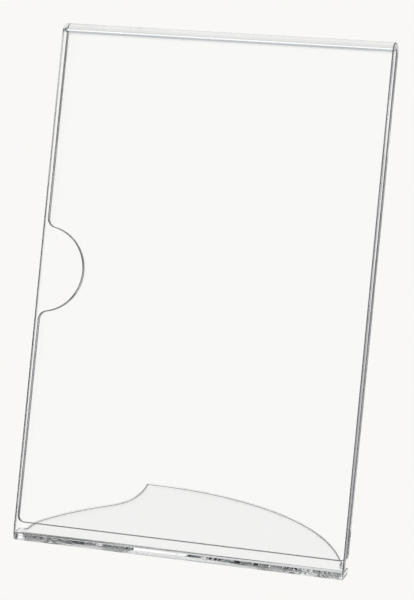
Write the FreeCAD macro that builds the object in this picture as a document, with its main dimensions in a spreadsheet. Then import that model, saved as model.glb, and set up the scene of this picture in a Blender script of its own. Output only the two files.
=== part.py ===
"""Clear acrylic slant-back stand for one upright 10 x 15 cm print, as a parametric FreeCAD document.

One thermoformed sheet makes the print pocket: a front panel that leans back, a fold over its top edge
and a back panel that hangs down behind it, with a thumb notch in its left edge. The pocket stands on the
front edge of a flat foot plate cut to a wave-shaped outline. Millimetres; X to the right as seen from the
front, the front faces -Y, Z up, origin at the middle of the foot's underside.
"""
import FreeCAD, Part
import math
import os
import Sketcher

DIMENSIONS = {
    # clear sheet stock
    "sheet_width": 105.0,
    "sheet_gauge": 2.2,
    # print pocket
    "lean": 17.5,
    "front_length": 154.3,
    "fold_inner_radius": 1.1,
    "convergence": 0.55,
    "back_length": 151.0,
    "corner_radius": 2.0,
    "notch_height": 78.3,
    "notch_radius": 13.0,
    "notch_blend": 3.0,
    # foot plate, from its front edge
    "foot_depth": 56.2,
    "shoulder_depth": 5.5,
    "step_in": 2.5,
    "step_radius": 1.5,
    "tip_radius": 0.8,
    # wave outline of the foot, from its front left corner
    "tail_end_y": 9.0,
    "tail_radius": 73.2,
    "crown_x": 72.7,
    "crown_y": 43.5,
    "crown_radius": 89.8,
    "tip_x": 23.7,
    "lip_radius": 35.6,
    "throat_x": 24.2,
    "throat_y": 42.0,
    "throat_radius": 15.7,
    "flank_x": 18.9,
    "flank_y": 33.4,
    "flank_radius": 75.0,
    "hip_x": 5.25,
    "hip_y": 16.8,
    "hip_radius": 19.0,
    "hip_start_y": 7.5,
}

ORIGIN_POINT = (-1, 1)
START, END, CENTRE = 1, 2, 3
LEFT_OF_TRAVEL, RIGHT_OF_TRAVEL = 1, -1
TOUCH = 1e-3
THROUGH_SHARE = 0.5


class Dim:
    """A length or ratio held as its value and as the expression that binds it to the dimension sheet."""

    def __init__(self, value, expression):
        self.value = value
        self.expression = expression

    def combined(self, other, symbol, value):
        right = other.expression if isinstance(other, Dim) else str(other)
        return Dim(value, f"({self.expression} {symbol} {right})")

    def __add__(self, other):
        return self.combined(other, "+", self.value + number(other))

    def __sub__(self, other):
        return self.combined(other, "-", self.value - number(other))

    def __mul__(self, other):
        return self.combined(other, "*", self.value * number(other))

    def __truediv__(self, other):
        return self.combined(other, "/", self.value / number(other))


def number(quantity):
    """The plain value of a Dim or of a number."""
    return quantity.value if isinstance(quantity, Dim) else quantity


def sine(angle):
    """Sine of an angle in degrees."""
    return Dim(math.sin(math.radians(angle.value)), f"sin({angle.expression})")


def cosine(angle):
    """Cosine of an angle in degrees."""
    return Dim(math.cos(math.radians(angle.value)), f"cos({angle.expression})")


def make_sheet(doc):
    """Write the driving dimensions to a spreadsheet and return them as Dims by name."""
    sheet = doc.addObject("Spreadsheet::Sheet", "dims")
    bound = {}
    for row, (alias, value) in enumerate(DIMENSIONS.items(), start=1):
        sheet.set(f"A{row}", alias)
        sheet.set(f"B{row}", str(value))
        sheet.setAlias(f"B{row}", alias)
        bound[alias] = Dim(value, f"dims.{alias}")
    doc.recompute()
    return bound


def new_body(doc, label):
    """A PartDesign body whose label names its STEP file."""
    body = doc.addObject("PartDesign::Body", label)
    body.Label = label
    return body


def new_sketch(body, name, role):
    """A sketch on one of the body's own origin planes."""
    sketch = body.newObject("Sketcher::SketchObject", name)
    planes = [feature for feature in body.Origin.OriginFeatures if feature.Role == role]
    sketch.AttachmentSupport = [(planes[0], "")]
    sketch.MapMode = "FlatFace"
    return sketch


def counterclockwise_arc(centre, start, end):
    """Arc about a centre, running counterclockwise from start to end as the sketcher keeps its arcs."""
    angles = [math.atan2(point.y - centre.y, point.x - centre.x) for point in (start, end)]
    circle = Part.Circle(centre, FreeCAD.Vector(0, 0, 1), start.distanceToPoint(centre))
    sweep = (angles[1] - angles[0]) % (2 * math.pi)
    return Part.ArcOfCircle(circle, angles[0], angles[0] + sweep)


def arc_between(start, end, radius, centre_side):
    """The shorter arc from start to end, with its centre to the left or right of travel."""
    chord = end - start
    middle = start + chord * 0.5
    normal = FreeCAD.Vector(-chord.y, chord.x, 0).normalize() * centre_side
    centre = middle + normal * math.sqrt(radius**2 - (chord.Length / 2) ** 2)
    if centre_side == LEFT_OF_TRAVEL:
        return counterclockwise_arc(centre, start, end)
    return counterclockwise_arc(centre, end, start)


def bind_constraint(sketch, constraint, quantity):
    """Add a constraint and drive it from the dimension sheet."""
    index = sketch.addConstraint(constraint)
    sketch.setExpression(f"Constraints[{index}]", quantity.expression)


def place_point(sketch, geometry, end, point):
    """Fix one end of a curve at a point given by two Dims, or by 0 on an axis."""
    for kind, axis, quantity in (("DistanceX", -2, point[0]), ("DistanceY", -1, point[1])):
        if number(quantity) == 0:
            sketch.addConstraint(Sketcher.Constraint("PointOnObject", geometry, end, axis))
        else:
            constraint = Sketcher.Constraint(kind, *ORIGIN_POINT, geometry, end, quantity.value)
            bind_constraint(sketch, constraint, quantity)


def closed_outline(sketch, points, bends):
    """Draw a closed outline through the points; bends give the stretches that are arcs.

    bends maps the number of the point that an arc starts from to its radius and its centre's side.
    """
    vectors = [FreeCAD.Vector(number(x), number(y), 0) for x, y in points]
    following = vectors[1:] + vectors[:1]
    for index, (start, end) in enumerate(zip(vectors, following)):
        if index in bends:
            radius, side = bends[index]
            sketch.addGeometry(arc_between(start, end, radius.value, side), False)
        else:
            sketch.addGeometry(Part.LineSegment(start, end), False)
    starts = [end_at(sketch.Geometry[index], start) for index, start in enumerate(vectors)]
    for index in range(len(points)):
        after = (index + 1) % len(points)
        finish = END if starts[index] == START else START
        sketch.addConstraint(Sketcher.Constraint("Coincident", index, finish, after, starts[after]))
    for index, point in enumerate(points):
        place_point(sketch, index, starts[index], point)
    for index, (radius, side) in bends.items():
        bind_constraint(sketch, Sketcher.Constraint("Radius", index, radius.value), radius)


def end_at(curve, point):
    """Which end of a curve lies at the point."""
    return START if curve.StartPoint.distanceToPoint(point) < 1e-6 else END


def pad(body, sketch, name, length, symmetric=False):
    """Pad a sketch to a length from the dimension sheet."""
    feature = body.newObject("PartDesign::Pad", name)
    feature.Profile = sketch
    if symmetric:
        feature.Midplane = True
    feature.setExpression("Length", length.expression)
    body.Document.recompute()
    return feature


def fillet(body, base, name, radius, wanted):
    """Round the edges of a feature that the test picks by their middle point and direction."""
    picked = []
    for index, edge in enumerate(base.Shape.Edges, start=1):
        middle = edge.valueAt((edge.FirstParameter + edge.LastParameter) / 2)
        if wanted(edge, middle):
            picked.append(f"Edge{index}")
    feature = body.newObject("PartDesign::Fillet", name)
    feature.Base = (base, picked)
    feature.setExpression("Radius", radius.expression)
    body.Document.recompute()
    return feature


def crosses_sheet(edge):
    """True for a straight edge that runs through the thickness of a flat blank."""
    ends = edge.Vertexes
    least_rise = THROUGH_SHARE * DIMENSIONS["sheet_gauge"]
    return len(ends) == 2 and abs(ends[0].Z - ends[1].Z) > least_rise


def pocket_points(dims):
    """Points of the pocket's side view, as (distance from the foot's front edge, height) pairs."""
    gauge = dims["sheet_gauge"]
    lean = dims["lean"]
    back_lean = lean + dims["convergence"]
    inner = dims["fold_inner_radius"]
    outer = inner + gauge
    front_top = (sine(lean) * dims["front_length"], gauge + cosine(lean) * dims["front_length"])
    rear_top = (front_top[0] + cosine(lean) * gauge, front_top[1] - sine(lean) * gauge)
    centre = (front_top[0] + cosine(lean) * outer, front_top[1] - sine(lean) * outer)
    back_inner = (centre[0] + cosine(back_lean) * inner, centre[1] - sine(back_lean) * inner)
    back_outer = (centre[0] + cosine(back_lean) * outer, centre[1] - sine(back_lean) * outer)
    back_foot = (
        back_outer[0] - sine(back_lean) * dims["back_length"],
        back_outer[1] - cosine(back_lean) * dims["back_length"],
    )
    return {
        "front_top": front_top,
        "rear_top": rear_top,
        "fold_centre": centre,
        "back_inner": back_inner,
        "back_outer": back_outer,
        "back_foot": back_foot,
    }


def set_back_from_front(body, dims):
    """Move a body drawn from the foot's front edge so that the foot is centred on the origin."""
    body.setExpression("Placement.Base.y", (dims["foot_depth"] * -0.5).expression)


def front_panel(doc, dims):
    """Leaning front sheet; its lower edge is cut level and cemented to the foot plate."""
    body = new_body(doc, "front_panel")
    side = new_sketch(body, "front_side", "YZ_Plane")
    gauge = dims["sheet_gauge"]
    points = pocket_points(dims)
    outline = [
        (0, gauge),
        (gauge / cosine(dims["lean"]), gauge),
        points["rear_top"],
        points["front_top"],
    ]
    closed_outline(side, outline, {})
    pad(body, side, "front_pad", dims["sheet_width"], symmetric=True)
    set_back_from_front(body, dims)
    return body


def top_fold(doc, dims):
    """Bend over the top edge that joins the front and back panels."""
    body = new_body(doc, "top_fold")
    side = new_sketch(body, "fold_side", "YZ_Plane")
    points = pocket_points(dims)
    inner = dims["fold_inner_radius"]
    outer = inner + dims["sheet_gauge"]
    draw_fold(side, points, inner, outer)
    pad(body, side, "fold_pad", dims["sheet_width"], symmetric=True)
    set_back_from_front(body, dims)
    return body


def draw_fold(sketch, points, inner, outer):
    """Half-ring profile about the fold's centre, closed by a short line at the top of each panel."""
    corners = {name: FreeCAD.Vector(number(y), number(z), 0) for name, (y, z) in points.items()}
    centre = corners["fold_centre"]
    outside = counterclockwise_arc(centre, corners["back_outer"], corners["front_top"])
    inside = counterclockwise_arc(centre, corners["back_inner"], corners["rear_top"])
    sketch.addGeometry(outside, False)
    sketch.addGeometry(Part.LineSegment(corners["back_outer"], corners["back_inner"]), False)
    sketch.addGeometry(inside, False)
    sketch.addGeometry(Part.LineSegment(corners["rear_top"], corners["front_top"]), False)

    joints = ((0, 1, "back_outer"), (1, 2, "back_inner"), (2, 3, "rear_top"), (3, 0, "front_top"))
    for curve, after, name in joints:
        ends = [end_at(sketch.Geometry[index], corners[name]) for index in (curve, after)]
        sketch.addConstraint(Sketcher.Constraint("Coincident", curve, ends[0], after, ends[1]))
        level = Sketcher.Constraint("DistanceY", *ORIGIN_POINT, curve, ends[0], corners[name].y)
        bind_constraint(sketch, level, points[name][1])
    sketch.addConstraint(Sketcher.Constraint("Coincident", 0, CENTRE, 2, CENTRE))
    place_point(sketch, 0, CENTRE, points["fold_centre"])
    bind_constraint(sketch, Sketcher.Constraint("Radius", 0, outer.value), outer)
    bind_constraint(sketch, Sketcher.Constraint("Radius", 2, inner.value), inner)


def back_panel(doc, dims):
    """Back sheet with the thumb notch in its left edge, drawn flat and then leaned into place."""
    body = new_body(doc, "back_panel")
    width = dims["sheet_width"]
    length = dims["back_length"]
    gauge = dims["sheet_gauge"]

    blank = new_sketch(body, "back_blank", "XY_Plane")
    closed_outline(blank, [(0, 0), (width, 0), (width, length), (0, length)], {})
    sheet = pad(body, blank, "back_pad", gauge)

    notch = new_sketch(body, "thumb_notch", "XY_Plane")
    centre = FreeCAD.Vector(0, dims["notch_height"].value, 0)
    notch.addGeometry(Part.Circle(centre, FreeCAD.Vector(0, 0, 1), dims["notch_radius"].value), False)
    notch.addConstraint(Sketcher.Constraint("PointOnObject", 0, CENTRE, -2))
    height = Sketcher.Constraint("DistanceY", *ORIGIN_POINT, 0, CENTRE, dims["notch_height"].value)
    bind_constraint(notch, height, dims["notch_height"])
    radius = Sketcher.Constraint("Radius", 0, dims["notch_radius"].value)
    bind_constraint(notch, radius, dims["notch_radius"])
    cut = body.newObject("PartDesign::Pocket", "notch_cut")
    cut.Profile = notch
    cut.Type = "ThroughAll"
    cut.Midplane = True
    doc.recompute()
    if cut.Shape.Volume >= sheet.Shape.Volume:
        raise RuntimeError("the thumb notch removed no material")

    def at_mouth(edge, middle):
        """True for the two corners where the notch leaves the left edge."""
        rise = abs(middle.y - dims["notch_height"].value)
        return crosses_sheet(edge) and abs(middle.x) < TOUCH and rise < dims["notch_radius"].value + TOUCH

    def at_foot(edge, middle):
        """True for the two lower corners of the sheet."""
        return crosses_sheet(edge) and abs(middle.y) < TOUCH

    mouth = fillet(body, cut, "notch_mouth", dims["notch_blend"], at_mouth)
    fillet(body, mouth, "lower_corners", dims["corner_radius"], at_foot)

    back_lean = dims["lean"] + dims["convergence"]
    foot = pocket_points(dims)["back_foot"]
    body.Placement.Rotation = FreeCAD.Rotation(FreeCAD.Vector(1, 0, 0), 90 - back_lean.value)
    body.setExpression("Placement.Rotation.Angle", f"90 - {back_lean.expression}")
    body.setExpression("Placement.Base.x", (width * -0.5).expression)
    body.setExpression("Placement.Base.y", (foot[0] - dims["foot_depth"] * 0.5).expression)
    body.setExpression("Placement.Base.z", foot[1].expression)
    return body


def foot_plate(doc, dims):
    """Level foot: full width under the pocket, then a wave-shaped outline running out to its tip."""
    body = new_body(doc, "foot_plate")
    plan = new_sketch(body, "foot_plan", "XY_Plane")
    width = dims["sheet_width"]
    step = dims["step_in"]
    shoulder = dims["shoulder_depth"]
    points = [
        (0, 0),
        (width, 0),
        (width, shoulder),
        (width - step, shoulder),
        (width - step, dims["tail_end_y"]),
        (dims["crown_x"], dims["crown_y"]),
        (dims["tip_x"], dims["foot_depth"]),
        (dims["throat_x"], dims["throat_y"]),
        (dims["flank_x"], dims["flank_y"]),
        (dims["hip_x"], dims["hip_y"]),
        (step, dims["hip_start_y"]),
        (step, shoulder),
        (0, shoulder),
    ]
    bends = {
        4: (dims["tail_radius"], LEFT_OF_TRAVEL),
        5: (dims["crown_radius"], LEFT_OF_TRAVEL),
        6: (dims["lip_radius"], RIGHT_OF_TRAVEL),
        7: (dims["throat_radius"], RIGHT_OF_TRAVEL),
        8: (dims["flank_radius"], LEFT_OF_TRAVEL),
        9: (dims["hip_radius"], LEFT_OF_TRAVEL),
    }
    closed_outline(plan, points, bends)
    plate = pad(body, plan, "foot_pad", dims["sheet_gauge"])

    tip = (dims["tip_x"].value, dims["foot_depth"].value)

    def in_step(edge, middle):
        """True for the two inner corners where the outline steps in behind the shoulders."""
        off_step = min(abs(middle.x - x) for x in (step.value, width.value - step.value))
        return crosses_sheet(edge) and off_step < TOUCH and abs(middle.y - shoulder.value) < TOUCH

    def at_tip(edge, middle):
        """True for the corner at the tip of the wave."""
        return crosses_sheet(edge) and math.dist((middle.x, middle.y), tip) < TOUCH

    stepped = fillet(body, plate, "step_corners", dims["step_radius"], in_step)
    fillet(body, stepped, "tip_corner", dims["tip_radius"], at_tip)
    body.setExpression("Placement.Base.x", (width * -0.5).expression)
    set_back_from_front(body, dims)
    return body


def check_document(doc):
    """Stop if any object failed to compute."""
    for item in doc.Objects:
        troubles = [state for state in item.State if state in ("Invalid", "Error")]
        if troubles:
            raise RuntimeError(f"{item.Label} is {troubles}")


def write_step(bodies):
    """Write each checked body to its own STEP file."""
    os.makedirs("parts", exist_ok=True)
    for body in bodies:
        shape = body.Shape
        if shape.isNull() or not shape.isValid():
            raise RuntimeError(f"{body.Label} has no valid shape")
        shape.exportStep(os.path.join("parts", f"{body.Label}.step"))
        box = shape.BoundBox
        print(
            f"{body.Label}: {shape.Volume:.1f} mm3, {len(shape.Solids)} solid,"
            f" x {box.XMin:.2f} {box.XMax:.2f}, y {box.YMin:.2f} {box.YMax:.2f},"
            f" z {box.ZMin:.2f} {box.ZMax:.2f}"
        )


def main():
    """Build the stand and write its parts."""
    doc = FreeCAD.newDocument("photo_stand")
    dims = make_sheet(doc)
    bodies = [
        front_panel(doc, dims),
        top_fold(doc, dims),
        back_panel(doc, dims),
        foot_plate(doc, dims),
    ]
    doc.recompute()
    check_document(doc)
    write_step(bodies)


main()
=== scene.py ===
"""Looks of a clear acrylic slant-back stand for one upright print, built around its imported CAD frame.

The print pocket is one sheet folded over at its top edge, with a thumb notch in its rear half. It is
cemented to the front edge of a level foot plate cut to a wave-shaped outline. Metres; X to the right as
seen from the front, the front faces -Y, Z up.
"""

import logging
import math
from collections.abc import Callable
from dataclasses import dataclass, field
from enum import Enum

import bmesh
import bpy
from mathutils import Matrix, Vector


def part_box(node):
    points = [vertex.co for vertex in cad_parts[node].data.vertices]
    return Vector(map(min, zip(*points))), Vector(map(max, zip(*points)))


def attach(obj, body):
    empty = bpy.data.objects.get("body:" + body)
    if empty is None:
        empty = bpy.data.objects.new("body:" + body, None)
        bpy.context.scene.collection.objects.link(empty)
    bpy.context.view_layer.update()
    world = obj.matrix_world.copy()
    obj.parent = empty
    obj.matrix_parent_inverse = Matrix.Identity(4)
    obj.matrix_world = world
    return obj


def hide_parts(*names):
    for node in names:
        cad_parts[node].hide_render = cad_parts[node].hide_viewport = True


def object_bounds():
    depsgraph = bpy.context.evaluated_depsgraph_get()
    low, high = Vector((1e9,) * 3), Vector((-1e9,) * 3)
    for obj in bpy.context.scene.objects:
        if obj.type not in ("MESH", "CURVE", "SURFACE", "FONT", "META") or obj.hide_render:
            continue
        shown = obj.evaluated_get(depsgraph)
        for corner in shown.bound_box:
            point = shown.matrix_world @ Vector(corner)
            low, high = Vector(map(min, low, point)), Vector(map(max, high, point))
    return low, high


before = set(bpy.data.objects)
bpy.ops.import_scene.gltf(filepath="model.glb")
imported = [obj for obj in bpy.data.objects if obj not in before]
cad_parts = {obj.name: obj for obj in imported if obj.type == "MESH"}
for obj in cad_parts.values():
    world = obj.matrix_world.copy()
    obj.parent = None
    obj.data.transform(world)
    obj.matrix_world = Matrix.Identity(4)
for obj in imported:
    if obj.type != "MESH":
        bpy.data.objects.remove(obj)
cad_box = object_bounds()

BODY = "root"
MM = 0.001
MERGE_DISTANCE = 1e-7
SHARP_EDGE = math.radians(40.0)
PIPED_BOUNCES = 48
LONGEST_PATH = 96

log = logging.getLogger("photo_stand")


class Bend(Enum):
    """Side of the direction of travel on which an arc has its centre."""

    LEFT = 1
    RIGHT = -1


class Surface(Enum):
    """Material slot of each kind of face on a clear piece."""

    SHEET = 0
    CUT = 1
    # Broken edges with a dark painted shade.
    ARRIS = 2
    # Fold faces, which carry a painted shade.
    FOLD = 3
    # Broken edges on the front half's left side, with a paler painted shade.
    PALE_ARRIS = 4


# ---------------------------------------------------------------------------------------------- finishes


def link(tree: bpy.types.NodeTree, source: bpy.types.NodeSocket, target: bpy.types.NodeSocket) -> None:
    """Join two sockets."""
    tree.links.new(source, target)


@dataclass(frozen=True)
class MoldedWave:
    """Node group for the slight unevenness of cast sheet and of a polished cut.

    Its outputs are a height for a Bump node, a roughness and a colour; the colour is faintly bluish on the
    sheet and the cuts and a painted shade on the fold and the broken edges.
    """

    name: str = "sheet_wave"

    def build(self) -> bpy.types.NodeTree:
        """Make the group once.

        Returns:
            The shader node group, made on the first call and reused afterwards.
        """
        if self.name in bpy.data.node_groups:
            return bpy.data.node_groups[self.name]
        group = bpy.data.node_groups.new(self.name, "ShaderNodeTree")
        sockets = (
            ("Scale", "INPUT", "NodeSocketFloat"),
            ("Stretch", "INPUT", "NodeSocketVector"),
            ("Smoothest", "INPUT", "NodeSocketFloat"),
            ("Roughest", "INPUT", "NodeSocketFloat"),
            ("Clear", "INPUT", "NodeSocketColor"),
            ("Toned", "INPUT", "NodeSocketColor"),
            ("Height", "OUTPUT", "NodeSocketFloat"),
            ("Roughness", "OUTPUT", "NodeSocketFloat"),
            ("Color", "OUTPUT", "NodeSocketColor"),
        )
        for name, direction, kind in sockets:
            group.interface.new_socket(name, in_out=direction, socket_type=kind)
        nodes = group.nodes
        inputs = nodes.new("NodeGroupInput")
        outputs = nodes.new("NodeGroupOutput")
        place = nodes.new("ShaderNodeTexCoord")
        mapping = nodes.new("ShaderNodeMapping")
        wave = nodes.new("ShaderNodeTexNoise")
        wave.inputs["Detail"].default_value = 2.0
        rough = nodes.new("ShaderNodeMapRange")
        tone_mix = nodes.new("ShaderNodeMix")
        tone_mix.data_type = "RGBA"
        link(group, place.outputs["Object"], mapping.inputs["Vector"])
        link(group, inputs.outputs["Stretch"], mapping.inputs["Scale"])
        link(group, mapping.outputs["Vector"], wave.inputs["Vector"])
        link(group, inputs.outputs["Scale"], wave.inputs["Scale"])
        link(group, wave.outputs["Fac"], rough.inputs["Value"])
        link(group, inputs.outputs["Smoothest"], rough.inputs["To Min"])
        link(group, inputs.outputs["Roughest"], rough.inputs["To Max"])
        link(group, wave.outputs["Fac"], tone_mix.inputs["Factor"])
        link(group, inputs.outputs["Clear"], tone_mix.inputs["A"])
        link(group, inputs.outputs["Toned"], tone_mix.inputs["B"])
        link(group, wave.outputs["Fac"], outputs.inputs["Height"])
        link(group, rough.outputs["Result"], outputs.inputs["Roughness"])
        link(group, tone_mix.outputs["Result"], outputs.inputs["Color"])
        return group


@dataclass(frozen=True)
class ClearAcrylic:
    """Acrylic finish, water-clear or faintly coloured, or greyed as painted shade on the fold and the
    broken edges, with a slight unevenness of its own.
    """

    name: str
    scale: float
    stretch: tuple[float, float, float]
    roughness: tuple[float, float]
    # The two colours that the noise mixes: faintly coloured on the sheet and the cuts, painted shade on
    # the fold and arris finishes.
    clear: tuple[float, float, float, float]
    toned: tuple[float, float, float, float]
    bump_distance: float
    transmission: float = 1.0
    refraction: float = 1.49

    def build(self) -> bpy.types.Material:
        """Make the material.

        Returns:
            The material, with its Principled shader fed by the sheet_wave group.
        """
        material = bpy.data.materials.new(self.name)
        material.use_nodes = True
        tree = material.node_tree
        shader = tree.nodes["Principled BSDF"]
        shader.inputs["Transmission Weight"].default_value = self.transmission
        shader.inputs["Metallic"].default_value = 0.0
        shader.inputs["IOR"].default_value = self.refraction
        wave = tree.nodes.new("ShaderNodeGroup")
        wave.node_tree = MoldedWave().build()
        wave.inputs["Scale"].default_value = self.scale
        wave.inputs["Stretch"].default_value = self.stretch
        wave.inputs["Smoothest"].default_value = self.roughness[0]
        wave.inputs["Roughest"].default_value = self.roughness[1]
        wave.inputs["Clear"].default_value = self.clear
        wave.inputs["Toned"].default_value = self.toned
        bump = tree.nodes.new("ShaderNodeBump")
        bump.inputs["Distance"].default_value = self.bump_distance
        link(tree, wave.outputs["Height"], bump.inputs["Height"])
        link(tree, bump.outputs["Normal"], shader.inputs["Normal"])
        link(tree, wave.outputs["Roughness"], shader.inputs["Roughness"])
        link(tree, wave.outputs["Color"], shader.inputs["Base Color"])
        return material


SHEET_FINISH = ClearAcrylic(
    name="clear_sheet",
    scale=18.0,
    stretch=(1.0, 1.0, 1.0),
    roughness=(0.0, 0.004),
    clear=(0.999, 1.0, 1.0, 1.0),
    toned=(0.996, 0.999, 1.0, 1.0),
    bump_distance=0.00001,
)
CUT_FINISH = ClearAcrylic(
    name="polished_cut",
    scale=300.0,
    stretch=(1.0, 1.0, 1.0),
    roughness=(0.0, 0.02),
    clear=(0.99, 0.995, 0.995, 1.0),
    toned=(0.95, 0.97, 0.975, 1.0),
    bump_distance=0.00001,
)
# Painted shade: the fold is greyed all over and darker in patches, standing in for the grey band and dark
# crest line that refraction draws along the bend.
FOLD_SHADE_FINISH = ClearAcrylic(
    name="fold_painted_shade",
    scale=60.0,
    stretch=(0.3, 1.0, 1.0),
    roughness=(0.0, 0.01),
    clear=(0.95, 0.96, 0.965, 1.0),
    toned=(0.82, 0.83, 0.84, 1.0),
    bump_distance=0.00002,
)
# Painted shade: broken edges made nearly black and partly opaque, standing in for the dark lines that
# refraction and reflection of the dim room draw along clear edges.
ARRIS_SHADE_FINISH = ClearAcrylic(
    name="arris_painted_shade",
    scale=500.0,
    stretch=(1.0, 1.0, 1.0),
    roughness=(0.04, 0.16),
    clear=(0.1, 0.11, 0.13, 1.0),
    toned=(0.03, 0.035, 0.04, 1.0),
    bump_distance=0.00001,
    transmission=0.75,
)
# Painted shade, paler: the broken edges on the front half's left side are greyed less than elsewhere, for
# the lighter edge line on that side.
PALE_ARRIS_SHADE_FINISH = ClearAcrylic(
    name="pale_arris_painted_shade",
    scale=500.0,
    stretch=(1.0, 1.0, 1.0),
    roughness=(0.0, 0.06),
    clear=(0.93, 0.94, 0.95, 1.0),
    toned=(0.72, 0.74, 0.76, 1.0),
    bump_distance=0.00001,
)


FINISHES = (SHEET_FINISH, CUT_FINISH, ARRIS_SHADE_FINISH, FOLD_SHADE_FINISH, PALE_ARRIS_SHADE_FINISH)

# --------------------------------------------------------------------------------------------- tools


class OutlinePen:
    """Draws a flat outline in the XY plane, point by point, with extruded and spun points."""

    def __init__(self, start: tuple[float, float]) -> None:
        """Put the pen down at the start point."""
        self.mesh = bmesh.new()
        self.tip = bmesh.ops.create_vert(self.mesh, co=(*start, 0.0))["vert"][0]

    def line(self, end: tuple[float, float]) -> bmesh.types.BMVert:
        """Draw a straight run.

        Args:
            end: Where the run stops.

        Returns:
            The point at its end.
        """
        made = bmesh.ops.extrude_vert_indiv(self.mesh, verts=[self.tip])
        self.tip = made["verts"][0]
        bmesh.ops.translate(self.mesh, verts=[self.tip], vec=Vector((*end, 0.0)) - self.tip.co)
        return self.tip

    def turn(self, centre: tuple[float, float], angle: float, pitch: float) -> bmesh.types.BMVert:
        """Draw an arc about a centre.

        Args:
            centre: The arc's centre.
            angle: How far to turn, counterclockwise if positive.
            pitch: The longest side of the arc.

        Returns:
            The point at its end.
        """
        hub = Vector((*centre, 0.0))
        radius = (self.tip.co - hub).length
        steps = max(4, math.ceil(abs(angle) * radius / pitch), math.ceil(abs(angle) / math.radians(9.0)))
        made = bmesh.ops.spin(
            self.mesh,
            geom=[self.tip],
            cent=hub,
            axis=(0.0, 0.0, 1.0),
            dvec=(0.0, 0.0, 0.0),
            angle=angle,
            steps=steps,
            use_merge=False,
            use_normal_flip=False,
            use_duplicate=False,
        )
        self.tip = made["geom_last"][0]
        return self.tip

    def arc(self, end: tuple[float, float], radius: float, bend: Bend, pitch: float) -> bmesh.types.BMVert:
        """Draw an arc of a given radius, shorter than a half turn.

        Args:
            end: Where the arc stops.
            radius: Its radius.
            bend: The side of travel that its centre is on.
            pitch: The longest side of the arc.

        Returns:
            The point at its end.
        """
        start = self.tip.co.to_2d()
        chord = Vector(end) - start
        reach = math.sqrt(radius**2 - chord.length_squared / 4)
        across = Vector((-chord.y, chord.x)).normalized() * bend.value
        centre = (start + Vector(end)) / 2 + across * reach
        angle = 2 * math.asin(chord.length / 2 / radius) * bend.value
        return self.turn(tuple(centre), angle, pitch)

    def close(self, softened: dict[bmesh.types.BMVert, float]) -> bmesh.types.BMesh:
        """Close the outline and fill it.

        Args:
            softened: For each corner to be rounded, how far from it the rounding starts.

        Returns:
            The flat blank, one face.
        """
        first = next(v for v in self.mesh.verts if len(v.link_edges) == 1 and v is not self.tip)
        self.mesh.edges.new((self.tip, first))
        bmesh.ops.edgeloop_fill(self.mesh, edges=self.mesh.edges[:])
        for corner, reach in softened.items():
            bmesh.ops.bevel(
                self.mesh,
                geom=[corner],
                offset=reach,
                offset_type="OFFSET",
                segments=8,
                profile=0.5,
                affect="VERTICES",
                material=-1,
            )
        return self.mesh


def thicken(blank: bmesh.types.BMesh, gauge: float) -> None:
    """Raise a flat blank to a solid sheet.

    Args:
        blank: One face in the XY plane.
        gauge: The sheet's thickness.
    """
    raised = bmesh.ops.extrude_face_region(blank, geom=blank.faces[:], use_keep_orig=True)
    top = [item for item in raised["geom"] if isinstance(item, bmesh.types.BMVert)]
    bmesh.ops.translate(blank, verts=top, vec=(0.0, 0.0, gauge))
    bmesh.ops.recalc_face_normals(blank, faces=blank.faces[:])


def ease_edges(
    mesh: bmesh.types.BMesh,
    width: float,
    sharpest: float,
    cemented: Callable[[Vector], bool],
    land_surface: Callable[[Vector], Surface],
) -> None:
    """Break the sharp edges of a solid with a narrow rounded land.

    Args:
        mesh: The solid.
        width: How far the land runs on to each side.
        sharpest: Edges that turn by more than this angle are broken.
        cemented: True for a point on the cemented joint, whose edges stay crisp.
        land_surface: The surface that a land has at a point.
    """
    sharp = [
        edge
        for edge in mesh.edges
        if edge.is_manifold
        and edge.calc_face_angle() > sharpest
        and not all(cemented(point.co) for point in edge.verts)
    ]
    eased = bmesh.ops.bevel(
        mesh,
        geom=sharp,
        offset=width,
        offset_type="OFFSET",
        segments=3,
        profile=0.5,
        affect="EDGES",
        clamp_overlap=True,
        material=-1,
    )
    # Each land takes the finish that land_surface picks, mostly a painted shade.
    for face in eased["faces"]:
        face.material_index = land_surface(face.calc_center_median()).value


def make_piece(name: str, mesh: bmesh.types.BMesh, nodes: tuple[str, ...]) -> bpy.types.Object:
    """Turn a finished solid into a piece that stands for CAD nodes.

    Args:
        name: The piece's name.
        mesh: Its solid, in the row frame.
        nodes: The CAD nodes it stands for.

    Returns:
        The piece, at the origin, riding on the stand's one body.
    """
    bmesh.ops.remove_doubles(mesh, verts=mesh.verts[:], dist=MERGE_DISTANCE)
    bmesh.ops.recalc_face_normals(mesh, faces=mesh.faces[:])
    for face in mesh.faces:
        face.smooth = True
    data = bpy.data.meshes.new(name)
    mesh.to_mesh(data)
    mesh.free()
    piece = bpy.data.objects.new(name, data)
    bpy.context.scene.collection.objects.link(piece)
    even = piece.modifiers.new("even_normals", "WEIGHTED_NORMAL")
    even.mode = "FACE_AREA"
    even.weight = 80
    for finish in FINISHES:
        found = bpy.data.materials.get(finish.name) or finish.build()
        data.materials.append(found)
    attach(piece, BODY)
    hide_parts(*nodes)
    return piece


# ------------------------------------------------------------------------------------------- pieces


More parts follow.
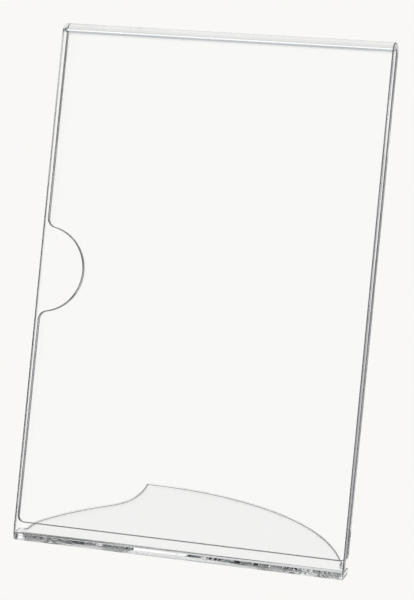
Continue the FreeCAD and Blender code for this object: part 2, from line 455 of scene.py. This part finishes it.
@dataclass
class FoldedPocket:
    """The print pocket: one clear sheet folded over its top edge, with a thumb notch in its rear half."""

    lean: float = math.radians(17.5)
    convergence: float = math.radians(0.55)
    front_length: float = 154.3 * MM
    back_length: float = 151.0 * MM
    inner_radius: float = 1.1 * MM
    corner_radius: float = 2.0 * MM
    notch_height: float = 78.3 * MM
    notch_radius: float = 13.0 * MM
    notch_blend: float = 3.0 * MM
    land: float = 0.3 * MM
    seam: float = 0.02 * MM
    fold_steps: int = 28
    width: float = field(init=False)
    gauge: float = field(init=False)
    front: float = field(init=False)
    base: float = field(init=False)

    def __post_init__(self) -> None:
        """Read the sheet's width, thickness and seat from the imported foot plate."""
        low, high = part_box("foot_plate")
        self.width = high.x - low.x
        self.gauge = high.z - low.z
        self.front = low.y
        self.base = high.z

    @property
    def back_lean(self) -> float:
        """Lean of the rear half."""
        return self.lean + self.convergence

    def fold_centre(self) -> Vector:
        """Centre of the fold in the side view."""
        reach = self.inner_radius + self.gauge
        up = Vector((0.0, math.sin(self.lean), math.cos(self.lean)))
        inward = Vector((0.0, math.cos(self.lean), -math.sin(self.lean)))
        return Vector((0.0, self.front, self.base)) + up * self.front_length + inward * reach

    def back_blank(self) -> bmesh.types.BMesh:
        """Cut the rear half flat, with its notch and its rounded lower corners.

        Returns:
            The blank, lying in the XY plane with its lower edge at y 0.
        """
        left, right = -self.width / 2, self.width / 2
        corner = self.corner_radius
        rise = math.sqrt((self.notch_radius + self.notch_blend) ** 2 - self.notch_blend**2)
        swing = math.asin(rise / (self.notch_radius + self.notch_blend))
        pen = OutlinePen((left, self.back_length))
        pen.line((left, self.notch_height + rise))
        pen.turn((left + self.notch_blend, self.notch_height + rise), swing, 0.4 * MM)
        pen.turn((left, self.notch_height), -2 * swing, 0.8 * MM)
        pen.turn((left + self.notch_blend, self.notch_height - rise), swing, 0.4 * MM)
        pen.line((left, corner))
        pen.turn((left + corner, corner), math.pi / 2, 0.4 * MM)
        pen.line((right - corner, 0.0))
        pen.turn((right - corner, corner), math.pi / 2, 0.4 * MM)
        pen.line((right, self.back_length))
        return pen.close({})

    def lean_back(self, mesh: bmesh.types.BMesh) -> None:
        """Stand the flat rear half up behind the fold.

        Args:
            mesh: The rear half, thickened towards +Z.
        """
        reach = self.inner_radius + self.gauge
        out = Vector((0.0, math.cos(self.back_lean), -math.sin(self.back_lean)))
        up = Vector((0.0, math.sin(self.back_lean), math.cos(self.back_lean)))
        foot = self.fold_centre() + out * reach - up * self.back_length
        bmesh.ops.rotate(
            mesh,
            verts=mesh.verts[:],
            cent=(0.0, 0.0, 0.0),
            matrix=Matrix.Rotation(math.pi / 2 - self.back_lean, 3, "X"),
        )
        bmesh.ops.translate(mesh, verts=mesh.verts[:], vec=foot)

    def fold_over(self, mesh: bmesh.types.BMesh) -> None:
        """Bend the sheet over its top edge and run the front half down to the foot plate.

        Args:
            mesh: The rear half, standing in place.
        """
        mesh.faces.ensure_lookup_table()
        top = max(mesh.faces, key=lambda face: face.calc_center_median().z)
        spun = bmesh.ops.spin(
            mesh,
            geom=[top],
            cent=self.fold_centre(),
            axis=(1.0, 0.0, 0.0),
            dvec=(0.0, 0.0, 0.0),
            angle=math.pi + self.convergence,
            steps=self.fold_steps,
            use_merge=False,
            use_normal_flip=False,
            use_duplicate=False,
        )
        end = [item for item in spun["geom_last"] if isinstance(item, bmesh.types.BMFace)]
        run = bmesh.ops.extrude_face_region(mesh, geom=end)
        lower = [item for item in run["geom"] if isinstance(item, bmesh.types.BMVert)]
        bmesh.ops.delete(mesh, geom=[face for face in end if face.is_valid], context="FACES_ONLY")
        down = Vector((0.0, -math.sin(self.lean), -math.cos(self.lean)))
        bmesh.ops.translate(mesh, verts=lower, vec=down * (self.front_length + self.gauge))
        cut = bmesh.ops.bisect_plane(
            mesh,
            geom=mesh.verts[:] + mesh.edges[:] + mesh.faces[:],
            dist=MERGE_DISTANCE,
            plane_co=(0.0, 0.0, self.base + self.seam),
            plane_no=(0.0, 0.0, -1.0),
            clear_outer=True,
            clear_inner=False,
        )
        rim = [item for item in cut["geom_cut"] if isinstance(item, bmesh.types.BMEdge)]
        bmesh.ops.edgeloop_fill(mesh, edges=rim)

    def mark_cuts(self, mesh: bmesh.types.BMesh) -> None:
        """Give the sawn and polished edges their own material slot.

        Args:
            mesh: The folded sheet, before its edges are broken.
        """
        mesh.normal_update()
        facing = Vector((0.0, -math.cos(self.lean), math.sin(self.lean)))
        fold_start = self.fold_centre().z - self.inner_radius - self.gauge
        for face in mesh.faces:
            in_fold = face.calc_center_median().z > fold_start
            across = abs(face.normal.x) > 0.5
            on_end = not in_fold and abs(face.normal.dot(facing)) < 0.9
            # Faces in the fold take the fold finish, a painted shade.
            flat = Surface.FOLD if in_fold else Surface.SHEET
            face.material_index = (Surface.CUT if across or on_end else flat).value

    def on_joint(self, point: Vector) -> bool:
        """True for a point on the level lower edge, where the pocket is cemented to the foot plate."""
        return point.z < self.base + self.seam + MERGE_DISTANCE

    def land_surface(self, point: Vector) -> Surface:
        """Choose the painted shade of a broken edge: paler on the front half's left side, dark elsewhere.

        Args:
            point: A point on the land.

        Returns:
            The surface of the land there.
        """
        behind = point - Vector((0.0, self.front, self.base))
        inward = Vector((0.0, math.cos(self.lean), -math.sin(self.lean)))
        on_front = behind.dot(inward) < self.gauge + self.inner_radius
        return Surface.PALE_ARRIS if on_front and point.x < 0 else Surface.ARRIS

    def build(self) -> bpy.types.Object:
        """Fold the pocket.

        Returns:
            The finished piece.
        """
        mesh = self.back_blank()
        thicken(mesh, self.gauge)
        self.lean_back(mesh)
        self.fold_over(mesh)
        bmesh.ops.recalc_face_normals(mesh, faces=mesh.faces[:])
        self.mark_cuts(mesh)
        ease_edges(mesh, self.land, SHARP_EDGE, self.on_joint, self.land_surface)
        return make_piece("folded_pocket", mesh, ("front_panel", "top_fold", "back_panel"))


@dataclass
class WaveFoot:
    """The level foot plate: full width under the pocket, then a wave-shaped outline out to its tip."""

    shoulder_depth: float = 5.5 * MM
    step_in: float = 2.5 * MM
    step_radius: float = 1.5 * MM
    tip_reach: float = 0.9 * MM
    tail_end: float = 9.0 * MM
    hip_start: float = 7.5 * MM
    tip_x: float = 23.7 * MM
    land: float = 0.35 * MM
    pitch: float = 1.6 * MM
    low: Vector = field(init=False)
    high: Vector = field(init=False)

    def __post_init__(self) -> None:
        """Read the plate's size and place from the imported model."""
        self.low, self.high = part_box("foot_plate")

    def outline(self) -> bmesh.types.BMesh:
        """Cut the plate's outline, measured from its front left corner.

        Returns:
            The blank, one face in the XY plane.
        """
        width = self.high.x - self.low.x
        depth = self.high.y - self.low.y
        inset = width - self.step_in
        pen = OutlinePen((0.0, 0.0))
        pen.line((width, 0.0))
        pen.line((width, self.shoulder_depth))
        right_step = pen.line((inset, self.shoulder_depth))
        pen.line((inset, self.tail_end))
        wave = (
            ((72.7 * MM, 43.5 * MM), 73.2 * MM, Bend.LEFT),
            ((self.tip_x, depth), 89.8 * MM, Bend.LEFT),
            ((24.2 * MM, 42.0 * MM), 35.6 * MM, Bend.RIGHT),
            ((18.9 * MM, 33.4 * MM), 15.7 * MM, Bend.RIGHT),
            ((5.25 * MM, 16.8 * MM), 75.0 * MM, Bend.LEFT),
            ((self.step_in, self.hip_start), 19.0 * MM, Bend.LEFT),
        )
        points = [pen.arc(end, radius, bend, self.pitch) for end, radius, bend in wave]
        left_step = pen.line((self.step_in, self.shoulder_depth))
        pen.line((0.0, self.shoulder_depth))
        softened = {right_step: self.step_radius, left_step: self.step_radius, points[1]: self.tip_reach}
        return pen.close(softened)

    def on_joint(self, point: Vector) -> bool:
        """True for a point on the top front edge, where the pocket is cemented on."""
        return point.y < self.low.y + MERGE_DISTANCE and point.z > self.high.z - MERGE_DISTANCE

    def land_surface(self, point: Vector) -> Surface:
        """Clear land along the front and the shoulders, land with a dark painted shade round the
        wave-shaped outline.
        """
        ahead = point.y < self.low.y + self.shoulder_depth
        return Surface.CUT if ahead else Surface.ARRIS

    def build(self) -> bpy.types.Object:
        """Make the plate.

        Returns:
            The finished piece.
        """
        mesh = self.outline()
        thicken(mesh, self.high.z - self.low.z)
        bmesh.ops.translate(mesh, verts=mesh.verts[:], vec=self.low)
        mesh.normal_update()
        for face in mesh.faces:
            level = abs(face.normal.z) > 0.5
            face.material_index = (Surface.SHEET if level else Surface.CUT).value
        ease_edges(mesh, self.land, SHARP_EDGE, self.on_joint, self.land_surface)
        return make_piece("wave_foot", mesh, ("foot_plate",))


# ------------------------------------------------------------------------------------------- studio


@dataclass(frozen=True)
class LightTable:
    """Pale floor that glows evenly, as a light table does under clear goods."""

    half_side: float = 4.0
    drop: float = 0.05 * MM
    colour: tuple[float, float, float, float] = (0.947, 0.939, 0.921, 1.0)
    glow: float = 1.0

    def build(self, floor_level: float) -> bpy.types.Object:
        """Lay the floor just under the foot plate.

        Args:
            floor_level: Height of the foot plate's underside.

        Returns:
            The floor.
        """
        mesh = bmesh.new()
        bmesh.ops.create_grid(mesh, x_segments=8, y_segments=8, size=self.half_side)
        bmesh.ops.translate(mesh, verts=mesh.verts[:], vec=(0.0, 0.0, floor_level - self.drop))
        data = bpy.data.meshes.new("floor")
        mesh.to_mesh(data)
        mesh.free()
        floor = bpy.data.objects.new("floor", data)
        bpy.context.scene.collection.objects.link(floor)
        data.materials.append(self.finish())
        return floor

    def finish(self) -> bpy.types.Material:
        """Pale matte surface with its own even glow."""
        material = bpy.data.materials.new("pale_floor")
        material.use_nodes = True
        shader = material.node_tree.nodes["Principled BSDF"]
        shader.inputs["Base Color"].default_value = (0.0, 0.0, 0.0, 1.0)
        shader.inputs["Roughness"].default_value = 1.0
        shader.inputs["Specular IOR Level"].default_value = 0.0
        shader.inputs["Emission Color"].default_value = self.colour
        shader.inputs["Emission Strength"].default_value = self.glow
        return material


@dataclass(frozen=True)
class SoftLight:
    """One broad soft patch of the surroundings, fading out at its rim."""

    azimuth: float
    elevation: float
    core: float
    rim: float
    colour: tuple[float, float, float, float]
    level: float

    def direction(self) -> Vector:
        """Where the patch is seen from the stand; azimuth 0 is in front, 90 degrees to its right."""
        across, rise = math.radians(self.azimuth), math.radians(self.elevation)
        return Vector(
            (math.sin(across) * math.cos(rise), -math.cos(across) * math.cos(rise), math.sin(rise))
        )

    def build(self, tree: bpy.types.NodeTree, seen: bpy.types.NodeSocket) -> bpy.types.NodeSocket:
        """Make the patch's share of the light.

        Args:
            tree: The world's nodes.
            seen: The direction being looked in.

        Returns:
            The patch's colour in that direction.
        """
        facing = tree.nodes.new("ShaderNodeVectorMath")
        facing.operation = "DOT_PRODUCT"
        facing.inputs[1].default_value = self.direction()
        link(tree, seen, facing.inputs[0])
        fade = tree.nodes.new("ShaderNodeMapRange")
        fade.interpolation_type = "SMOOTHSTEP"
        fade.inputs["From Min"].default_value = math.cos(math.radians(self.rim))
        fade.inputs["From Max"].default_value = math.cos(math.radians(self.core))
        fade.inputs["To Max"].default_value = self.level
        link(tree, facing.outputs["Value"], fade.inputs["Value"])
        toned = tree.nodes.new("ShaderNodeVectorMath")
        toned.operation = "SCALE"
        toned.inputs[0].default_value = self.colour[:3]
        link(tree, fade.outputs["Result"], toned.inputs["Scale"])
        return toned.outputs["Vector"]


WHITE = (1.0, 0.995, 0.985, 1.0)
COOL = (0.965, 0.985, 1.0, 1.0)


@dataclass(frozen=True)
class StudioDome:
    """Soft surroundings: a dim room with broad lights behind and beside the stand and a card in front."""

    room: tuple[float, float, float] = (0.03, 0.032, 0.036)
    lights: tuple[SoftLight, ...] = (
        SoftLight(azimuth=-18.8, elevation=19.3, core=8.0, rim=15.0, colour=WHITE, level=0.93),
        SoftLight(azimuth=-165.0, elevation=12.0, core=28.0, rim=42.0, colour=COOL, level=0.72),
        SoftLight(azimuth=-150.0, elevation=50.0, core=18.0, rim=32.0, colour=WHITE, level=1.2),
        SoftLight(azimuth=-108.0, elevation=12.0, core=14.0, rim=30.0, colour=WHITE, level=1.1),
    )

    def build(self) -> bpy.types.World:
        """Make the world and set it on the scene.

        Returns:
            The world.
        """
        world = bpy.data.worlds.new("studio")
        world.use_nodes = True
        tree = world.node_tree
        sky = tree.nodes["Background"]
        seen = tree.nodes.new("ShaderNodeTexCoord").outputs["Generated"]
        total = None
        for light in self.lights:
            share = light.build(tree, seen)
            brightest = tree.nodes.new("ShaderNodeVectorMath")
            brightest.operation = "MAXIMUM"
            brightest.inputs[0].default_value = self.room
            if total is not None:
                link(tree, total, brightest.inputs[0])
            link(tree, share, brightest.inputs[1])
            total = brightest.outputs["Vector"]
        link(tree, total, sky.inputs["Color"])
        bpy.context.scene.world = world
        return world


@dataclass(frozen=True)
class StudioCamera:
    """Long-lens camera a little to the right of the stand and above it."""

    lens: float = 156.0
    sensor: float = 36.0
    azimuth: float = math.radians(18.78)
    elevation: float = math.radians(15.69)
    distance: float = 0.7553
    aim_right: float = 10.3 * MM
    aim_up: float = 6.1 * MM

    def build(self, low: Vector, high: Vector) -> bpy.types.Object:
        """Stand the camera in front of the object.

        Args:
            low: Lowest corner of the object.
            high: Highest corner of the object.

        Returns:
            The scene's camera.
        """
        centre = (low + high) / 2
        aim = Vector((centre.x + self.aim_right, low.y, centre.z + self.aim_up))
        back = Vector(
            (
                math.sin(self.azimuth) * math.cos(self.elevation),
                -math.cos(self.azimuth) * math.cos(self.elevation),
                math.sin(self.elevation),
            )
        )
        data = bpy.data.cameras.new("studio_camera")
        data.lens = self.lens
        data.sensor_width = self.sensor
        data.clip_start = 0.01
        data.clip_end = 50.0
        camera = bpy.data.objects.new("studio_camera", data)
        bpy.context.scene.collection.objects.link(camera)
        camera.location = aim + back * self.distance
        camera.rotation_euler = (-back).to_track_quat("-Z", "Y").to_euler()
        bpy.context.scene.camera = camera
        return camera


def main() -> None:
    """Build the pieces, the studio and the camera."""
    logging.basicConfig(level=logging.INFO, format="%(message)s")
    for maker in (FoldedPocket(), WaveFoot()):
        piece = maker.build()
        log.info("%s: %d faces", piece.name, len(piece.data.polygons))
    low, high = cad_box
    LightTable().build(low.z)
    StudioDome().build()
    StudioCamera().build(low, high)
    scene = bpy.context.scene
    scene.view_settings.view_transform = "Standard"
    scene.cycles.glossy_bounces = PIPED_BOUNCES
    scene.cycles.transmission_bounces = PIPED_BOUNCES
    scene.cycles.max_bounces = LONGEST_PATH


if __name__ == "__main__":
    main()
